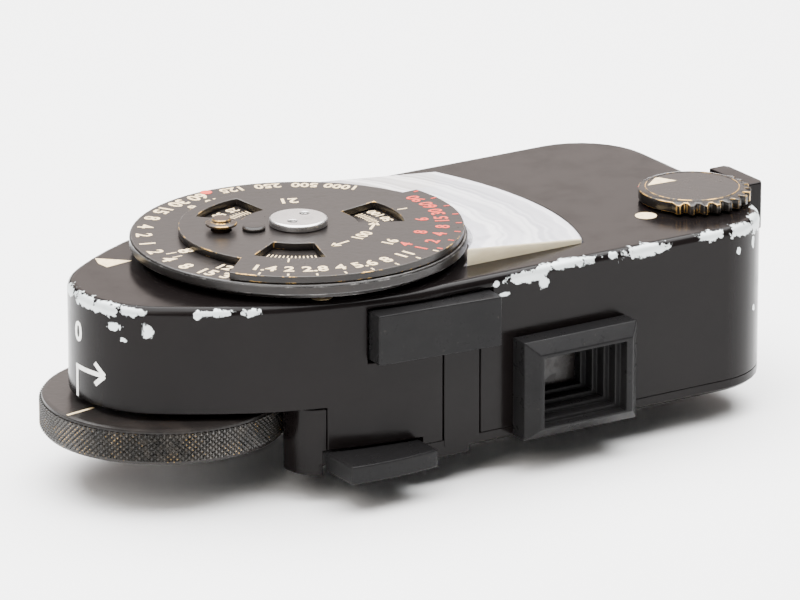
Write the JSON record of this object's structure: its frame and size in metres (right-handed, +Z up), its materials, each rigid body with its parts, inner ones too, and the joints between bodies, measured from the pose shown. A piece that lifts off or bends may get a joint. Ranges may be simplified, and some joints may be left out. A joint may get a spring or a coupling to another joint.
{
  "type": "handheld light meter",
  "caption": "Shoe-mounted exposure meter with a calculator dial, clear needle window, range knob, light window and a geared wheel that couples to a camera speed dial.",
  "frame": {"origin": "centre of the shoe foot underside", "axes": "+Z up, +X from the coupling wheel towards the range knob, -Y towards the light window"},
  "size_m": [0.0647, 0.0306, 0.0204],
  "materials": {
    "paint": "semi-gloss charcoal enamel, chipped to bare metal on the edges",
    "black_metal": "satin black finish with brass wear on the edges",
    "brass": "machined",
    "steel": "turned and polished",
    "clear": "clear moulded window",
    "dark_glass": "dark light-cell window",
    "white_plate": "matt white scale",
    "red_metal": "thin red needle",
    "black_plastic": "moulded black",
    "fibre": "fibre board"
  },
  "bodies": {
    "casing": {"top_housing": "paint", "base_plate": "paint", "shoe_foot": "steel", "foot_screw_1": "steel", "foot_screw_2": "steel", "foot_screw_3": "steel", "foot_screw_4": "steel", "case_screw_1": "black_metal", "case_screw_2": "black_metal", "case_screw_3": "black_metal", "case_screw_4": "black_metal", "dial_bush": "brass", "knob_bush": "brass", "wheel_bush": "brass", "needle_window": "clear", "scale_plate": "white_plate", "magnet_ring": "steel", "movement_frame": "brass", "light_window_frame": "black_plastic", "light_window_lens": "dark_glass", "photocell": "fibre", "battery_cell": "steel", "battery_contact": "brass", "circuit_board": "fibre", "resistor_low": "fibre", "resistor_high": "fibre", "idler_pin": "steel"},
    "dial": {"speed_disc": "black_metal", "dial_shaft": "steel", "dial_gear": "brass", "spanner_nut": "steel"},
    "film_disc": {"aperture_disc": "black_metal", "stop_stud": "black_metal"},
    "latch": {"latch_pin": "brass"},
    "wheel": {"coupling_wheel": "black_metal", "wheel_shaft": "steel", "wheel_gear": "brass", "coupling_pin": "steel"},
    "idler": {"idler_gear": "brass"},
    "range_knob": {"range_knob_top": "black_metal", "knob_shaft": "steel", "range_wiper": "brass"},
    "needle": {"needle_pointer": "red_metal", "moving_coil": "brass"},
    "measure_button": {"measuring_button": "black_plastic", "button_spring": "steel"},
    "shoe_catch": {"catch_lever": "black_plastic", "catch_spring": "steel"},
    "test_slide": {"test_slide_plate": "black_metal"},
    "battery_cover": {"battery_cover_disc": "black_metal"}
  },
  "joints": [
    {"name": "dial_turn", "type": "hinge", "parent": "casing", "child": "dial", "pos_m": [-0.0113, -0.00345, 0.01735], "axis": [0, 0, 1], "range_deg": [-165, 165]},
    {"name": "wheel_turn", "type": "hinge", "parent": "casing", "child": "wheel", "pos_m": [-0.0242, -0.00345, 0.00456], "axis": [0, 0, 1], "range_deg": [-165, 165]},
    {"name": "idler_turn", "type": "hinge", "parent": "casing", "child": "idler", "pos_m": [-0.01775, -0.00345, 0.0121], "axis": [0, 0, 1], "range_deg": [-280, 280]},
    {"name": "film_speed_turn", "type": "hinge", "parent": "dial", "child": "film_disc", "pos_m": [-0.0113, -0.00345, 0.01879], "axis": [0, 0, 1], "range_deg": [-60, 60]},
    {"name": "latch_press", "type": "slide", "parent": "film_disc", "child": "latch", "axis": [0, 0, -1], "range_m": [0, 0.00035], "stiffness_N_per_m": 60, "springref_m": -0.0005},
    {"name": "range_turn", "type": "hinge", "parent": "casing", "child": "range_knob", "pos_m": [0.0235, -0.00945, 0.01735], "axis": [0, 0, 1], "range_deg": [0, 91]},
    {"name": "needle_swing", "type": "hinge", "parent": "casing", "child": "needle", "pos_m": [0.0007, -0.00295, 0.0148], "axis": [0, 0, 1], "range_deg": [-28, 34], "stiffness_Nm_per_rad": 0.00001},
    {"name": "measure_press", "type": "slide", "parent": "casing", "child": "measure_button", "axis": [0.0872, 0.9962, 0], "range_m": [0, 0.0009], "stiffness_N_per_m": 100, "springref_m": -0.001},
    {"name": "catch_press", "type": "slide", "parent": "casing", "child": "shoe_catch", "axis": [0, 1, 0], "range_m": [0, 0.0016], "stiffness_N_per_m": 100, "springref_m": -0.001},
    {"name": "test_slide_move", "type": "slide", "parent": "casing", "child": "test_slide", "axis": [0, 1, 0], "range_m": [0, 0.002], "stiffness_N_per_m": 80, "springref_m": -0.001},
    {"name": "battery_cover_turn", "type": "hinge", "parent": "casing", "child": "battery_cover", "pos_m": [0.0179, -0.00345, 0.0029], "axis": [0, 0, 1], "range_deg": [0, 90]}
  ],
  "couplings": [
    {"joint": "wheel_turn", "follows": "dial_turn", "ratio": 1},
    {"joint": "idler_turn", "follows": "dial_turn", "ratio": -1.6875}
  ]
}
